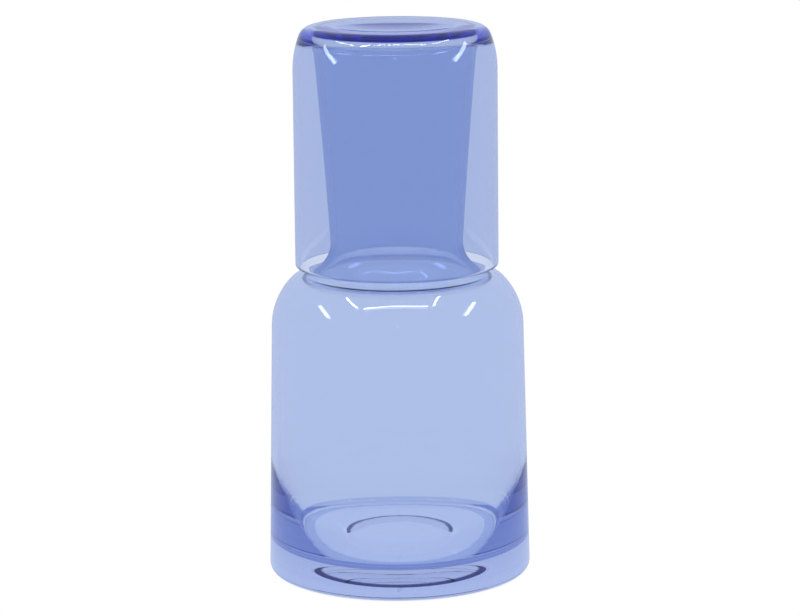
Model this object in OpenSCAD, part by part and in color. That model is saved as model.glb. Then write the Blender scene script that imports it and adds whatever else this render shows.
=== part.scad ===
// Bedside carafe with tumbler, both of tinted clear glass, each a single wall of glass about an axis.
// The carafe stands on the ring of its thick foot. The tumbler is put over the neck upside down:
// the corner inside its base rests on the carafe's lip and its rim hangs a little above the shoulder.
// Frame: +Z up, origin at the centre of the standing ring. Millimetres.

/* [Set] */
// Height of the carafe with the tumbler on
set_h = 187.9; // [178:0.1:205]

/* [Carafe body] */
// Diameter across the foot, the widest place of the body
foot_d = 90; // [87:1:98]
// Diameter where the shoulder starts
body_top_d = 86; // [82:0.5:89]
// Height at which the shoulder starts
shoulder_z = 86; // [76:1:96]
// Radius of the lower, wider shoulder curve
shoulder_low_r = 22.8; // [20:0.2:25]
// Turn of the surface at which the upper shoulder curve takes over, degrees
shoulder_turn = 44; // [38:1:48]
// Radius of the upper, tighter shoulder curve
shoulder_high_r = 9; // [8:0.2:10]
// Thickness of the wall of body and shoulder
body_wall = 1.9; // [1.6:0.1:2.4]

/* [Carafe foot] */
// Radius of the rounded edge round the foot
foot_edge_r = 2.5; // [1.2:0.1:3]
// Radius out to which the underside is hollowed
punt_r = 19.5; // [16:0.5:26]
// Height of that hollow at its centre
punt_rise = 2.4; // [1.5:0.1:3.5]
// Squareness of that hollow: 2 is a bowl, more has a flatter top and steeper sides
punt_shape = 4; // [2:0.5:6]
// Height of the inner floor where it meets the corner
floor_z = 8.8; // [8:0.1:12]
// Rise of the inner floor towards its centre
floor_dome = 1; // [0.5:0.1:2.5]
// Radius of the inner corner round the floor
corner_r = 5.5; // [4:0.5:9]
// Radius of the slow curve by which the wall thickens towards the floor
thicken_r = 73; // [66:1:90]
// Share of a right angle through which that slow curve turns
thicken_share = 0.23; // [0.18:0.01:0.26]

/* [Carafe neck] */
// Diameter of the neck at its narrowest, above the shoulder
neck_d = 45; // [42:0.5:48]
// Radius of the hollow curve between shoulder and neck
neck_fillet_r = 10.6; // [9.5:0.1:12]
// Diameter across the mouth
mouth_d = 55.4; // [53:0.2:57]
// Thickness of the neck's wall, rounded over at the lip
neck_wall = 1.9; // [1.6:0.1:2.3]
// Share of the neck's widening that is a straight flare, the rest grows faster upwards
flare_share = 0.81; // [0.6:0.01:1]

/* [Tumbler] */
// Diameter across the rim
rim_d = 69.2; // [68:0.2:73]
// Diameter where the wall turns into the base
tumbler_d = 69; // [68:0.2:73]
// Thickness of the wall, the same up to the corner, rounded over at the rim
tumbler_wall = 1.9; // [1.6:0.1:2.4]
// Thickness of the base
tumbler_base = 3.1; // [2.4:0.1:4]
// Radius of the slow outer curve from the wall towards the base
base_slow_r = 33; // [28:0.5:38]
// Angle through which that slow curve turns, degrees
base_slow_turn = 21; // [17:1:25]
// Radius of the outer edge round the base
base_edge_r = 4.8; // [4:0.1:5.5]
// Radius of the inner corner between wall and base
tumbler_corner_r = 5.3; // [5:0.1:7]
// Radius out to which the face of the base is hollowed
dimple_r = 21.5; // [16:0.5:25]
// Depth of that hollow at its centre
dimple_depth = 1.8; // [0.4:0.1:2.2]
// Depth by which the inner face of the base is pushed in at its centre
push_depth = 1.6; // [0.4:0.1:2.2]

/* [Fit] */
// Play between the carafe's lip and the corner inside the tumbler that rests on it
seat_gap = 0.1; // [0.05:0.05:0.3]
// Height of the tumbler's rim over the top of the shoulder
rim_gap = 2.2; // [1.5:0.1:4]

/* [Hidden] */
$fn = 96;
glass_tint = [0.58, 0.68, 0.92];
// Steps in which long and short curves are drawn
steps_long = 14;
steps_short = 8;
// Share of the foot's diameter below which two points of an outline count as one
same_share = 0.00001;
quarter_turn = 90;
half_turn = 180;
// Shape of a hollow that is a plain bowl
bowl = 2;

// Point at distance r and angle a from c
function polar(c, r, a) = [c[0] + r * cos(a), c[1] + r * sin(a)];
// Points along the arc about c from angle a0 to angle a1
function arc(c, r, a0, a1, n) = [for (i = [0:n]) polar(c, r, a0 + (a1 - a0) * i / n)];
// Points from the axis out to r along a shallow curve between two heights
function rise(r, z_axis, z_edge, shape = bowl) =
    [for (i = [0:steps_long])
        [r * i / steps_long, z_axis + (z_edge - z_axis) * pow(i / steps_long, shape)]];
// The same points from last to first
function back(points) = [for (i = [len(points) - 1:-1:0]) points[i]];
// Outline without the doubled points where one stretch ends and the next one starts
function joined(points) =
    [for (i = [0:len(points) - 1])
        if (i == 0 || norm(points[i] - points[i - 1]) > same_share * foot_d) points[i]];

// Shoulder, outside: arcs about low_c and high_c that share a tangent where they meet
body_top_r = body_top_d / 2;
foot_c = [foot_d / 2 - foot_edge_r, foot_edge_r];
body_lean = atan2(foot_d / 2 - body_top_r, shoulder_z - foot_edge_r);
low_c = polar([body_top_r, shoulder_z], -shoulder_low_r, body_lean);
high_c = polar(low_c, shoulder_low_r - shoulder_high_r, shoulder_turn);
shoulder_top_z = high_c[1] + shoulder_high_r;

// Hollow arc about fillet_c that touches the upper shoulder arc and the neck
neck_r = neck_d / 2;
fillet_turn = acos((neck_r + neck_fillet_r - high_c[0]) / (shoulder_high_r + neck_fillet_r));
fillet_c = polar(high_c, shoulder_high_r + neck_fillet_r, fillet_turn);

// The tumbler fills the height from a little above the shoulder to the top of the set
rim_z = shoulder_top_z + rim_gap;
top_z = set_h;
base_z = top_z - tumbler_base;

// Outside of the tumbler's base: slow arc about base_slow_c, then the edge about base_edge_c
tumbler_r = tumbler_d / 2;
base_slow_z = top_z - base_edge_r - (base_slow_r - base_edge_r) * sin(base_slow_turn);
base_slow_c = [tumbler_r - base_slow_r, base_slow_z];
base_edge_c = polar(base_slow_c, base_slow_r - base_edge_r, base_slow_turn);

// Inside of the tumbler: arc a wall in from the slow arc, then the corner about inner_c
inner_slow_r = base_slow_r - tumbler_wall;
inner_z = base_z - tumbler_corner_r;
inner_rise = inner_z - base_slow_z;
inner_turn = asin(inner_rise / (inner_slow_r - tumbler_corner_r));
inner_c = [polar(base_slow_c, inner_slow_r - tumbler_corner_r, inner_turn)[0], inner_z];

// Lip of the carafe, seated in the corner inside the tumbler
lip_r = neck_wall / 2;
lip_c_r = mouth_d / 2 - lip_r;
seat_reach = tumbler_corner_r - seat_gap - lip_r;
seat_aside = max(0, lip_c_r - inner_c[0]);
lip_c = [lip_c_r, inner_z + sqrt(pow(seat_reach, 2) - pow(seat_aside, 2))];

// Side of the neck from the hollow arc up to the lip, set in from the outside by inset
neck_z = fillet_c[1];
widening = mouth_d / 2 - neck_r;
function neck_side(inset) =
    [for (i = [0:steps_long])
        let (t = i / steps_long)
        [neck_r + widening * (flare_share * t + (1 - flare_share) * t * t) - inset,
            neck_z + (lip_c[1] - neck_z) * t]];

// Inside of the foot: arc about slow_c that leaves the wall, then the corner about corner_c
slow_turn = quarter_turn * thicken_share;
slow_z = floor_z + corner_r + (thicken_r - corner_r) * sin(slow_turn);
slow_x = body_top_r - body_wall + (shoulder_z - slow_z) * tan(body_lean);
slow_c = [slow_x - thicken_r, slow_z];
corner_c = polar(slow_c, thicken_r - corner_r, -slow_turn);

// Half section of the carafe: out under the foot, up the outside, over the lip, down the inside
carafe_section = joined(concat(
    rise(punt_r, punt_rise, 0, punt_shape),
    arc(foot_c, foot_edge_r, -quarter_turn, body_lean, steps_short),
    arc(low_c, shoulder_low_r, body_lean, shoulder_turn, steps_short),
    arc(high_c, shoulder_high_r, shoulder_turn, fillet_turn, steps_short),
    arc(fillet_c, neck_fillet_r, fillet_turn + half_turn, half_turn, steps_long),
    neck_side(0),
    arc(lip_c, lip_r, 0, half_turn, steps_short),
    back(neck_side(neck_wall)),
    arc(fillet_c, neck_fillet_r + neck_wall, half_turn, fillet_turn + half_turn, steps_long),
    arc(high_c, shoulder_high_r - body_wall, fillet_turn, shoulder_turn, steps_short),
    arc(low_c, shoulder_low_r - body_wall, shoulder_turn, body_lean, steps_short),
    arc(slow_c, thicken_r, 0, -slow_turn, steps_short),
    arc(corner_c, corner_r, -slow_turn, -quarter_turn, steps_short),
    back(rise(corner_c[0], floor_z + floor_dome, floor_z))
));

// Rounded rim of the tumbler
rim_r = tumbler_wall / 2;
rim_c = [rim_d / 2 - rim_r, rim_z + rim_r];

// Half section of the tumbler: under the rim, up the outside, over the base, down the inside
tumbler_section = joined(concat(
    arc(rim_c, rim_r, half_turn, 2 * half_turn, steps_short),
    arc(base_slow_c, base_slow_r, 0, base_slow_turn, steps_short),
    arc(base_edge_c, base_edge_r, base_slow_turn, quarter_turn, steps_short),
    back(rise(dimple_r, top_z - dimple_depth, top_z)),
    rise(inner_c[0], base_z - push_depth, base_z),
    arc(inner_c, tumbler_corner_r, quarter_turn, inner_turn, steps_short),
    arc(base_slow_c, inner_slow_r, inner_turn, 0, steps_short)
));

// Body, shoulder, neck, lip and foot of the carafe, one piece of glass
module carafe() {
    color(glass_tint)
        rotate_extrude()
            polygon(carafe_section);
}

// Tumbler, upside down over the neck, one piece of glass
module tumbler() {
    color(glass_tint)
        rotate_extrude()
            polygon(tumbler_section);
}

carafe();
tumbler();
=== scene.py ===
import math

import bpy
from mathutils import Matrix, Vector
from mathutils.kdtree import KDTree


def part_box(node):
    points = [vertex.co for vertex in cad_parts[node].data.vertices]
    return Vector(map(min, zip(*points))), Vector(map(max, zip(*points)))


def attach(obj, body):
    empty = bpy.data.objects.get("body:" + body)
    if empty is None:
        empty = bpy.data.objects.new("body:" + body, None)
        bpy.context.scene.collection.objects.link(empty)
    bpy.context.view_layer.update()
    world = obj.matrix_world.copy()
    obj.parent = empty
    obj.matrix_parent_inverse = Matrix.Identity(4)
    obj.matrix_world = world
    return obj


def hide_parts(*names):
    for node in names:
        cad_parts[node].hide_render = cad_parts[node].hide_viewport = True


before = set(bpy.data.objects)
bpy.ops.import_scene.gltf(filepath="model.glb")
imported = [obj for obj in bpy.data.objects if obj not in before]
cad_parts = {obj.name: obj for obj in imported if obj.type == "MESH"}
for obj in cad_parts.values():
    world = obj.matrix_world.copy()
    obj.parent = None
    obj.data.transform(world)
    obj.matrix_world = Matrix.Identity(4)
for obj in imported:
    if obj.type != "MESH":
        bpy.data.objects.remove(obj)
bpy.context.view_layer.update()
bpy.ops.object.select_all(action="DESELECT")

# Camera
# Stands a metre in front of the glass and looks down on it a little, as the photograph does,
# with the slight roll that lets the carafe lean to the left in the picture. Its place, turns and
# focal length were fitted outside this script, to the outline in the photograph.
PHOTO_WIDTH = 800
CAMERA_AWAY = 1.0257
CAMERA_HIGH = 0.3019
CAMERA_ASIDE = 0.00087
LOOK_DOWN = math.radians(11.608)
ROLL = math.radians(0.5775)
FOCAL_PIXELS = 3064.1
SENSOR_WIDTH = 36
NEAREST_SEEN = 0.05
quarter_turn = math.pi / 2

bpy.ops.object.camera_add(location=(CAMERA_ASIDE, -CAMERA_AWAY, CAMERA_HIGH))
camera = bpy.context.object
camera.name = "camera"
camera.rotation_mode = "QUATERNION"
turn = Matrix.Rotation(quarter_turn - LOOK_DOWN, 3, "X") @ Matrix.Rotation(-ROLL, 3, "Z")
camera.rotation_quaternion = turn.to_quaternion()
camera.data.sensor_width = SENSOR_WIDTH
camera.data.lens = FOCAL_PIXELS / PHOTO_WIDTH * SENSOR_WIDTH
camera.data.clip_start = NEAREST_SEEN
bpy.context.scene.camera = camera

# Carafe
# One blown piece of tinted clear glass: thick foot with a hollow under it, round shoulder, and a
# flared neck whose lip was melted round in the fire. Turned about its axis, as on the iron.
MM = 0.001
TURNED_STEPS = 168
CURVE_STEPS = 28
NECK_STEPS = 60
FOOT_EDGE_STEPS = 12
STANDING_RING_STEPS = 6
LIP_STEPS = 6
LONGEST_STEP = 1.6 * MM
SAME_PLACE = 0.001 * MM

FOOT_R = 45 * MM
BODY_TOP_R = 43 * MM
SHOULDER_Z = 86 * MM
SHOULDER_LOW_R = 22.8 * MM
SHOULDER_TURN = math.radians(44)
SHOULDER_HIGH_R = 9 * MM
BODY_WALL = 1.9 * MM
FOOT_EDGE_R = 2.5 * MM
PUNT_R = 19.5 * MM
PUNT_RISE = 2.4 * MM
PUNT_SHAPE = 4
PUNT_EDGE_SHARE = 0.92
FLOOR_Z = 8.8 * MM
FLOOR_DOME = 1 * MM
CORNER_R = 5.5 * MM
THICKEN_R = 73 * MM
THICKEN_TURN = math.radians(20.7)
NECK_R = 22.5 * MM
NECK_FILLET_R = 10.6 * MM
MOUTH_R = 27.7 * MM
NECK_WALL = 1.9 * MM
FLARE_SHARE = 0.81
LIP_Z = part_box("carafe")[1].z

# Tint of each stretch of the section, from clear to coated and beyond, as coated_glass reads it
CLEAR = 0
COATED = 1
NECK_TINT = 0.8
CREST_TINT = 2
STANDING_RING_TINT = 0.25
# The hollow's edge under the foot is painted dark: light turned back inside it comes back dark, a
# painted shade of the shaded ground under the foot
PUNT_EDGE_PAINTED_SHADE = -1
CORNER_TINTS = (0.3, 1, 0.5, 1, 0.4, 0.9, 0.6, 1)


def polar(centre, radius, angle):
    return Vector((centre[0] + radius * math.cos(angle), centre[1] + radius * math.sin(angle)))


def arc(centre, radius, start, end, steps=CURVE_STEPS):
    return [polar(centre, radius, start + (end - start) * i / steps) for i in range(steps + 1)]


def rise(radius, z_axis, z_edge, shape=2):
    """A shallow swelling or hollow, from the axis outwards. A higher shape has steeper sides."""
    shares = [i / CURVE_STEPS for i in range(CURVE_STEPS + 1)]
    return [Vector((radius * t, z_axis + (z_edge - z_axis) * t ** shape)) for t in shares]


def turned_glass(name, stretches):
    """Draws the half section stretch by stretch and spins it round into one closed wall of glass.
    Each stretch says how much tint it takes where it starts and ends, kept as an attribute."""
    outline = []
    tints = []
    for points, first_tint, last_tint in stretches:
        for step, point in enumerate(points):
            start = outline[-1] if outline else point
            gap = (point - start).length
            if outline and gap < SAME_PLACE:
                continue
            pieces = max(1, math.ceil(gap / LONGEST_STEP))
            outline += [start.lerp(point, i / pieces) for i in range(1, pieces + 1)]
            tints += [first_tint + (last_tint - first_tint) * step / len(points)] * pieces
    bpy.ops.mesh.primitive_plane_add(size=MM, location=(outline[0].x, 0, outline[0].y))
    glass = bpy.context.object
    glass.name = name
    glass.data.name = name
    bpy.ops.object.transform_apply(location=True)
    bpy.ops.object.mode_set(mode="EDIT")
    bpy.ops.mesh.select_all(action="SELECT")
    bpy.ops.mesh.merge(type="CENTER")
    for before, point in zip(outline, outline[1:]):
        move = point - before
        bpy.ops.mesh.extrude_vertices_move(TRANSFORM_OT_translate={"value": (move.x, 0, move.y)})
    bpy.ops.mesh.select_all(action="SELECT")
    bpy.ops.mesh.spin(steps=TURNED_STEPS, angle=4 * quarter_turn, center=(0, 0, 0), axis=(0, 0, 1))
    bpy.ops.mesh.select_all(action="SELECT")
    bpy.ops.mesh.remove_doubles(threshold=SAME_PLACE)
    bpy.ops.mesh.normals_make_consistent(inside=False)
    bpy.ops.object.mode_set(mode="OBJECT")
    bpy.ops.object.shade_smooth()
    # Each point of the wall takes the tint of the outline's point that it was spun from
    places = KDTree(len(outline))
    for i, point in enumerate(outline):
        places.insert((point.x, 0, point.y), i)
    places.balance()
    tint = glass.data.attributes.new("tint", "FLOAT", "POINT")
    for vertex, value in zip(glass.data.vertices, tint.data):
        nearest = places.find((vertex.co.xy.length, 0, vertex.co.z))[1]
        value.value = tints[nearest]
    glass.select_set(False)
    return glass


foot_centre = (FOOT_R - FOOT_EDGE_R, FOOT_EDGE_R)
body_lean = math.atan2(FOOT_R - BODY_TOP_R, SHOULDER_Z - FOOT_EDGE_R)
low_centre = polar((BODY_TOP_R, SHOULDER_Z), -SHOULDER_LOW_R, body_lean)
high_centre = polar(low_centre, SHOULDER_LOW_R - SHOULDER_HIGH_R, SHOULDER_TURN)
fillet_reach = SHOULDER_HIGH_R + NECK_FILLET_R
fillet_turn = math.acos((NECK_R + NECK_FILLET_R - high_centre.x) / fillet_reach)
fillet_centre = polar(high_centre, fillet_reach, fillet_turn)
lip_r = NECK_WALL / 2
lip_centre = Vector((MOUTH_R - lip_r, LIP_Z - lip_r))
slow_z = FLOOR_Z + CORNER_R + (THICKEN_R - CORNER_R) * math.sin(THICKEN_TURN)
slow_x = BODY_TOP_R - BODY_WALL + (SHOULDER_Z - slow_z) * math.tan(body_lean)
slow_centre = Vector((slow_x - THICKEN_R, slow_z))
corner_centre = polar(slow_centre, THICKEN_R - CORNER_R, -THICKEN_TURN)


def neck_side(inset):
    """Side of the neck from the hollow curve up to the lip, set in from the outside."""
    side = []
    for t in [i / NECK_STEPS for i in range(NECK_STEPS + 1)]:
        widened = (MOUTH_R - NECK_R) * (FLARE_SHARE * t + (1 - FLARE_SHARE) * t * t)
        high = fillet_centre.y + (lip_centre.y - fillet_centre.y) * t
        side.append(Vector((NECK_R - inset + widened, high)))
    return side


punt = rise(PUNT_R, PUNT_RISE, 0, PUNT_SHAPE)
punt_middle = [point for point in punt if point.x < PUNT_EDGE_SHARE * PUNT_R]
punt_edge = punt[len(punt_middle):]
standing_ring = arc(foot_centre, FOOT_EDGE_R, -quarter_turn, -quarter_turn / 2, STANDING_RING_STEPS)
body = (
    arc(foot_centre, FOOT_EDGE_R, -quarter_turn / 2, body_lean, FOOT_EDGE_STEPS)
    + arc(low_centre, SHOULDER_LOW_R, body_lean, SHOULDER_TURN)
)
crest = arc(high_centre, SHOULDER_HIGH_R, SHOULDER_TURN, fillet_turn)
neck_hollow = arc(fillet_centre, NECK_FILLET_R, fillet_turn + math.pi, math.pi)
neck = neck_side(0) + arc(lip_centre, lip_r, 0, quarter_turn, LIP_STEPS)
inside = (
    arc(lip_centre, lip_r, quarter_turn, math.pi, LIP_STEPS)
    + neck_side(NECK_WALL)[::-1]
    + arc(fillet_centre, NECK_FILLET_R + NECK_WALL, math.pi, fillet_turn + math.pi)
    + arc(high_centre, SHOULDER_HIGH_R - BODY_WALL, fillet_turn, SHOULDER_TURN)
    + arc(low_centre, SHOULDER_LOW_R - BODY_WALL, SHOULDER_TURN, body_lean)
    + arc(slow_centre, THICKEN_R, 0, -THICKEN_TURN)
)
corner = arc(corner_centre, CORNER_R, -THICKEN_TURN, -quarter_turn)
ring_points = len(corner) // (len(CORNER_TINTS) - 1)
corner_rings = [(corner[i * ring_points:(i + 1) * ring_points + 1], first_tint, last_tint)
                for i, (first_tint, last_tint) in enumerate(zip(CORNER_TINTS, CORNER_TINTS[1:]))]
floor_top = rise(corner_centre.x, FLOOR_Z + FLOOR_DOME, FLOOR_Z)[::-1]
carafe = turned_glass("carafe_glass", [
    (punt_middle, CLEAR, CLEAR),
    (punt_edge, PUNT_EDGE_PAINTED_SHADE, PUNT_EDGE_PAINTED_SHADE),
    (standing_ring, STANDING_RING_TINT, STANDING_RING_TINT),
    (body, COATED, COATED),
    (crest, CREST_TINT, CREST_TINT),
    (neck_hollow, CREST_TINT, NECK_TINT),
    (neck, NECK_TINT, NECK_TINT),
    (inside, CLEAR, CLEAR),
    *corner_rings,
    (floor_top, CLEAR, CLEAR),
])

# Clear smooth glass with a thin periwinkle coat. Light that goes through takes the colour of the
# coat, and light that is turned back inside takes the deep colour. Slight waves run down the glass,
# and fine rings run round the clear inside of the foot.
GLASS_INDEX = 1.5
BODY_COAT = (0.655, 0.727, 0.897)
BODY_DEEP = (0.36, 0.43, 0.72)
UNTINTED = (1, 1, 1)
# Colour of the painted shade at the hollow's edge under the foot
PAINTED_EDGE_SHADE = (0.11, 0.11, 0.28)
DEEP_POWER = 4.0
TINT_DENSITY = 3.0
TINT_KEPT = (0.10, 0.10, 0.50, 1)
WAVES_HIGH = 0.008 * MM
WAVES_SCALE = (60, 60, 9)
WAVES_DETAIL = 2.0
RINGS_TO_WAVES = 3.75
RINGS_SCALE = 330.0
RINGS_DETAIL = 1.0
RINGS_FULL = 14 * MM
RINGS_END = 45 * MM


class Socket:
    """A value, colour or shader that a node gives. Sums made with values are nodes as well."""

    def __init__(self, shader, link):
        self.shader = shader
        self.link = link

    def maths(self, operation, first, second):
        return self.shader.node("Math", "Value", {0: first, 1: second}, operation=operation)

    def __add__(self, other):
        return self.maths("ADD", self, other)

    def __sub__(self, other):
        return self.maths("SUBTRACT", self, other)

    def __rsub__(self, other):
        return self.maths("SUBTRACT", other, self)

    def __mul__(self, other):
        return self.maths("MULTIPLY", self, other)

    def __pow__(self, other):
        return self.maths("POWER", self, other)

    def __rpow__(self, other):
        return self.maths("POWER", other, self)

    __radd__ = __add__
    __rmul__ = __mul__


class Shader:
    """The nodes of a material or of the world, each made by one call."""

    def __init__(self, owner):
        owner.use_nodes = True
        self.tree = owner.node_tree
        self.tree.nodes.clear()

    def node(self, kind, out, inputs, **settings):
        """Settings are set first, then the values or links of the inputs, by name or by place."""
        made = self.tree.nodes.new("ShaderNode" + kind)
        for key, value in settings.items():
            setattr(made, key, value)
        for key, value in inputs.items():
            if isinstance(value, Socket):
                self.tree.links.new(value.link, made.inputs[key])
            else:
                made.inputs[key].default_value = value
        return Socket(self, made.outputs[out]) if out is not None else None

    def glass(self, color, normal):
        return self.node("BsdfGlass", "BSDF", {
            "Color": (*color, 1), "Roughness": 0, "IOR": GLASS_INDEX, "Normal": normal})

    def mixed(self, share, first, second):
        return self.node("MixShader", "Shader", {0: share, 1: first, 2: second})


def coated_glass(name, coat, deep):
    """Reads the tint of each place: 0 is clear and 1 is coated. From 1 to 2, light that is turned
    back inside takes less and less of the tint. Below 0 the glass is clear, but that light is painted
    dark, as painted shade of the shaded ground under the foot."""
    material = bpy.data.materials.new(name)
    shader = Shader(material)
    tint = shader.node("Attribute", "Fac", {}, attribute_name="tint")
    place = shader.node("TexCoord", "Object", {})
    height = shader.node("SeparateXYZ", "Z", {"Vector": place})
    drawn_down = shader.node("Mapping", "Vector", {"Vector": place, "Scale": WAVES_SCALE})
    waves = shader.node("TexNoise", "Fac", {
        "Vector": drawn_down, "Scale": 1.0, "Detail": WAVES_DETAIL})
    flattened = shader.node("Mapping", "Vector", {"Vector": place, "Scale": (1, 1, 0)})
    from_axis = shader.node("VectorMath", "Value", {0: flattened}, operation="LENGTH")
    section = shader.node("CombineXYZ", "Vector", {"X": from_axis, "Y": height})
    rings = shader.node("TexNoise", "Fac", {
        "Vector": section, "Scale": RINGS_SCALE, "Detail": RINGS_DETAIL})
    low = shader.node("MapRange", "Result", {
        "Value": height, "From Min": RINGS_FULL, "From Max": RINGS_END,
        "To Min": RINGS_TO_WAVES, "To Max": 0.0})
    uneven = waves + rings * low * (1 - tint)
    bump = shader.node("Bump", "Normal", {
        "Strength": 1.0, "Distance": WAVES_HIGH, "Height": uneven})
    turned_back = shader.node("Fresnel", "Fac", {
        "IOR": GLASS_INDEX, "Normal": bump}) ** DEEP_POWER
    coated = shader.mixed(turned_back, shader.glass(coat, bump), shader.glass(deep, bump))
    covered = tint * (1 - turned_back * (tint - 1))
    tinted = shader.mixed(covered, shader.glass(UNTINTED, bump), coated)
    # Painted shade: below 0 tint, light turned back inside is mixed towards the dark painted edge
    # colour
    painted_shade_share = -1 * tint * turned_back
    surface = shader.mixed(painted_shade_share, tinted, shader.glass(PAINTED_EDGE_SHADE, bump))
    depth = shader.node("VolumeAbsorption", "Volume", {
        "Color": TINT_KEPT, "Density": TINT_DENSITY})
    shader.node("OutputMaterial", None, {"Surface": surface, "Volume": depth})
    return material


carafe.data.materials.append(coated_glass("carafe_blue_glass", BODY_COAT, BODY_DEEP))
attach(carafe, "carafe")
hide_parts("carafe")

# Tumbler
# One blown piece of the same glass, put over the neck upside down: thin wall with its rim melted
# round, soft corner, thick base with a shallow hollow in its face. It rests on the carafe's lip.
RIM_R = 34.6 * MM
TUMBLER_R = 34.5 * MM
TUMBLER_WALL = 1.9 * MM
TUMBLER_BASE = 3.1 * MM
BASE_SLOW_R = 33 * MM
BASE_SLOW_TURN = math.radians(21)
BASE_EDGE_R = 4.8 * MM
INNER_CORNER_R = 5.3 * MM
DIMPLE_R = 21.5 * MM
DIMPLE_DEPTH = 1.8 * MM
PUSH_DEPTH = 1.6 * MM
RIM_STEPS = 8
BEND_TINT = 1.6
TUMBLER_COAT = (0.618, 0.689, 0.871)
TUMBLER_DEEP = (0.45, 0.46, 0.88)

rim_z, top_z = (corner.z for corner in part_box("tumbler"))
base_z = top_z - TUMBLER_BASE
base_slow_z = top_z - BASE_EDGE_R - (BASE_SLOW_R - BASE_EDGE_R) * math.sin(BASE_SLOW_TURN)
base_slow_centre = Vector((TUMBLER_R - BASE_SLOW_R, base_slow_z))
base_edge_centre = polar(base_slow_centre, BASE_SLOW_R - BASE_EDGE_R, BASE_SLOW_TURN)
rim_round = TUMBLER_WALL / 2
rim_centre = (RIM_R - rim_round, rim_z + rim_round)
inner_slow_r = BASE_SLOW_R - TUMBLER_WALL
inner_rise = base_z - INNER_CORNER_R - base_slow_z
inner_turn = math.asin(inner_rise / (inner_slow_r - INNER_CORNER_R))
inner_centre = polar(base_slow_centre, inner_slow_r - INNER_CORNER_R, inner_turn)

tumbler_inside = (
    rise(inner_centre.x, base_z - PUSH_DEPTH, base_z)
    + arc(inner_centre, INNER_CORNER_R, quarter_turn, inner_turn)
    + arc(base_slow_centre, inner_slow_r, inner_turn, 0)
    + arc(rim_centre, rim_round, 2 * quarter_turn, 3 * quarter_turn, RIM_STEPS)
)
rim_outside = arc(rim_centre, rim_round, 3 * quarter_turn, 4 * quarter_turn, RIM_STEPS)
bend = arc(base_slow_centre, BASE_SLOW_R, 0, BASE_SLOW_TURN)
base_face = (
    arc(base_edge_centre, BASE_EDGE_R, BASE_SLOW_TURN, quarter_turn)
    + rise(DIMPLE_R, top_z - DIMPLE_DEPTH, top_z)[::-1]
)
tumbler = turned_glass("tumbler_glass", [
    (tumbler_inside, CLEAR, CLEAR),
    (rim_outside, COATED, COATED),
    (bend, COATED, BEND_TINT),
    (base_face, COATED, COATED),
])
tumbler.data.materials.append(coated_glass("tumbler_blue_glass", TUMBLER_COAT, TUMBLER_DEEP))
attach(tumbler, "tumbler")
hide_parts("tumbler")

# Studio
# Plain pale floor and light walls all round, with six lamps in front of the glass, beside it and
# over it, which show as the short bright strokes on shoulder and corner. Under the foot the floor
# has a painted tinted shadow: it glows in the glass's tint, standing for ground lit through the glass.
FLOOR_SIZE = 12.0
FLOOR_GLOW = 1.0
WALL_GLOW = 1.0
WHITE = (1, 1, 1, 1)
PAINTED_SHADOW_UNDER_FOOT = (0.63, 0.71, 0.94, 1)
UNDER_EDGE = 42 * MM
OPEN_EDGE = 44 * MM

bpy.ops.mesh.primitive_plane_add(size=FLOOR_SIZE, location=(0, 0, 0))
floor = bpy.context.object
floor.name = "floor"
floor_with_painted_shadow = bpy.data.materials.new("floor_with_painted_shadow")
paint = Shader(floor_with_painted_shadow)
ground_place = paint.node("TexCoord", "Object", {})
away = paint.node("VectorMath", "Value", {0: ground_place}, operation="LENGTH")
# Painted tinted shadow: within UNDER_EDGE of the axis the ground glows in the tint, and it fades to
# white by OPEN_EDGE
open_ground = paint.node("MapRange", "Result", {
    "Value": away, "From Min": UNDER_EDGE, "From Max": OPEN_EDGE})
# A Mix node has its two colours at places 6 and 7, and gives the mixed colour at place 2
ground_with_painted_shadow = paint.node("Mix", 2, {0: open_ground, 6: PAINTED_SHADOW_UNDER_FOOT, 7: WHITE}, data_type="RGBA")
ground = paint.node("Emission", "Emission", {"Color": ground_with_painted_shadow, "Strength": FLOOR_GLOW})
paint.node("OutputMaterial", None, {"Surface": ground})
floor.data.materials.append(floor_with_painted_shadow)

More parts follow.
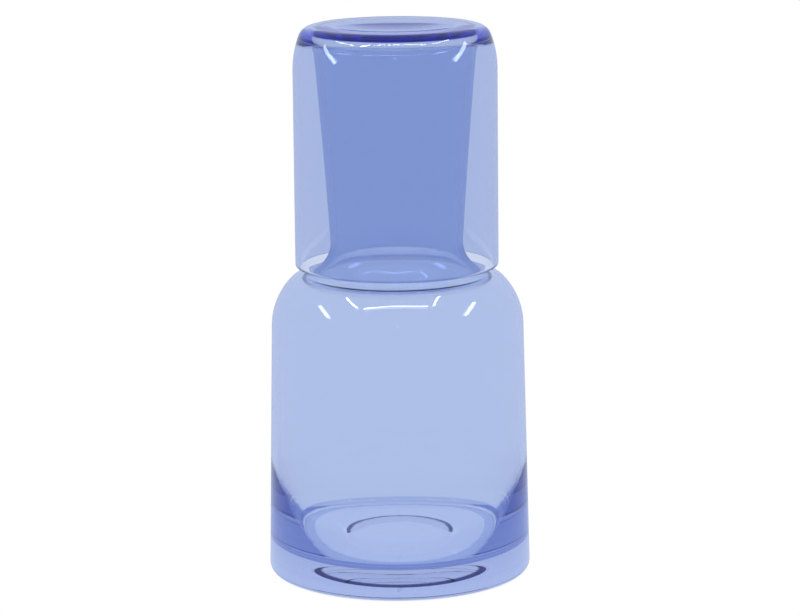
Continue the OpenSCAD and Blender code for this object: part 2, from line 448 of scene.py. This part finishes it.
scene = bpy.context.scene
scene.world = bpy.data.worlds.new("studio")
walls = Shader(scene.world)
light = walls.node("Background", "Background", {"Color": WHITE, "Strength": WALL_GLOW})
walls.node("OutputWorld", None, {"Surface": light})

# Each lamp has its name, its two ends in millimetres, its width and how bright it looks. The ends
# aren't worked out here: they were found outside this script, by following the photograph's strokes
# back off the glass, and rounded to whole millimetres.
LAMPS_AIM = Vector((0, 0, 140 * MM))
BAR_WIDTH = 5 * MM
BAR_GLOW = 40.0
PANEL_WIDTH = 17 * MM
PANEL_GLOW = 12.0
LAMPS = (
    ("bar_front", (-96, -116, 255), (80, -109, 255), BAR_WIDTH, BAR_GLOW),
    ("bar_left", (-111, -102, 255), (-110, -30, 255), BAR_WIDTH, BAR_GLOW),
    ("bar_right", (94, -96, 255), (82, -24, 255), BAR_WIDTH, BAR_GLOW),
    ("panel_left", (-251, -2, 265), (-239, -98, 215), PANEL_WIDTH, PANEL_GLOW),
    ("panel_right", (236, 8, 267), (221, -92, 216), PANEL_WIDTH, PANEL_GLOW),
    ("spot_front", (-8, -515, 356), (8, -515, 356), BAR_WIDTH, BAR_GLOW),
)

for name, start, end, width, brightness in LAMPS:
    start = Vector(start) * MM
    end = Vector(end) * MM
    middle = (start + end) / 2
    along = end - start
    bpy.ops.object.light_add(type="AREA", location=middle)
    lamp = bpy.context.object
    lamp.name = name
    lamp.data.shape = "RECTANGLE"
    lamp.data.size = along.length
    lamp.data.size_y = width
    lamp.data.energy = brightness * math.pi * lamp.data.size * width
    along.normalize()
    across = (middle - LAMPS_AIM).cross(along).normalized()
    facing = Matrix((along, across, along.cross(across))).transposed()
    lamp.rotation_mode = "QUATERNION"
    lamp.rotation_quaternion = facing.to_quaternion()
    lamp.visible_camera = False

# Light goes round inside the tumbler's base many times, and with few bounces black flecks show there
LIGHT_BOUNCES = 96
scene.view_settings.view_transform = "Standard"
scene.cycles.max_bounces = LIGHT_BOUNCES
scene.cycles.transmission_bounces = LIGHT_BOUNCES
scene.cycles.glossy_bounces = LIGHT_BOUNCES
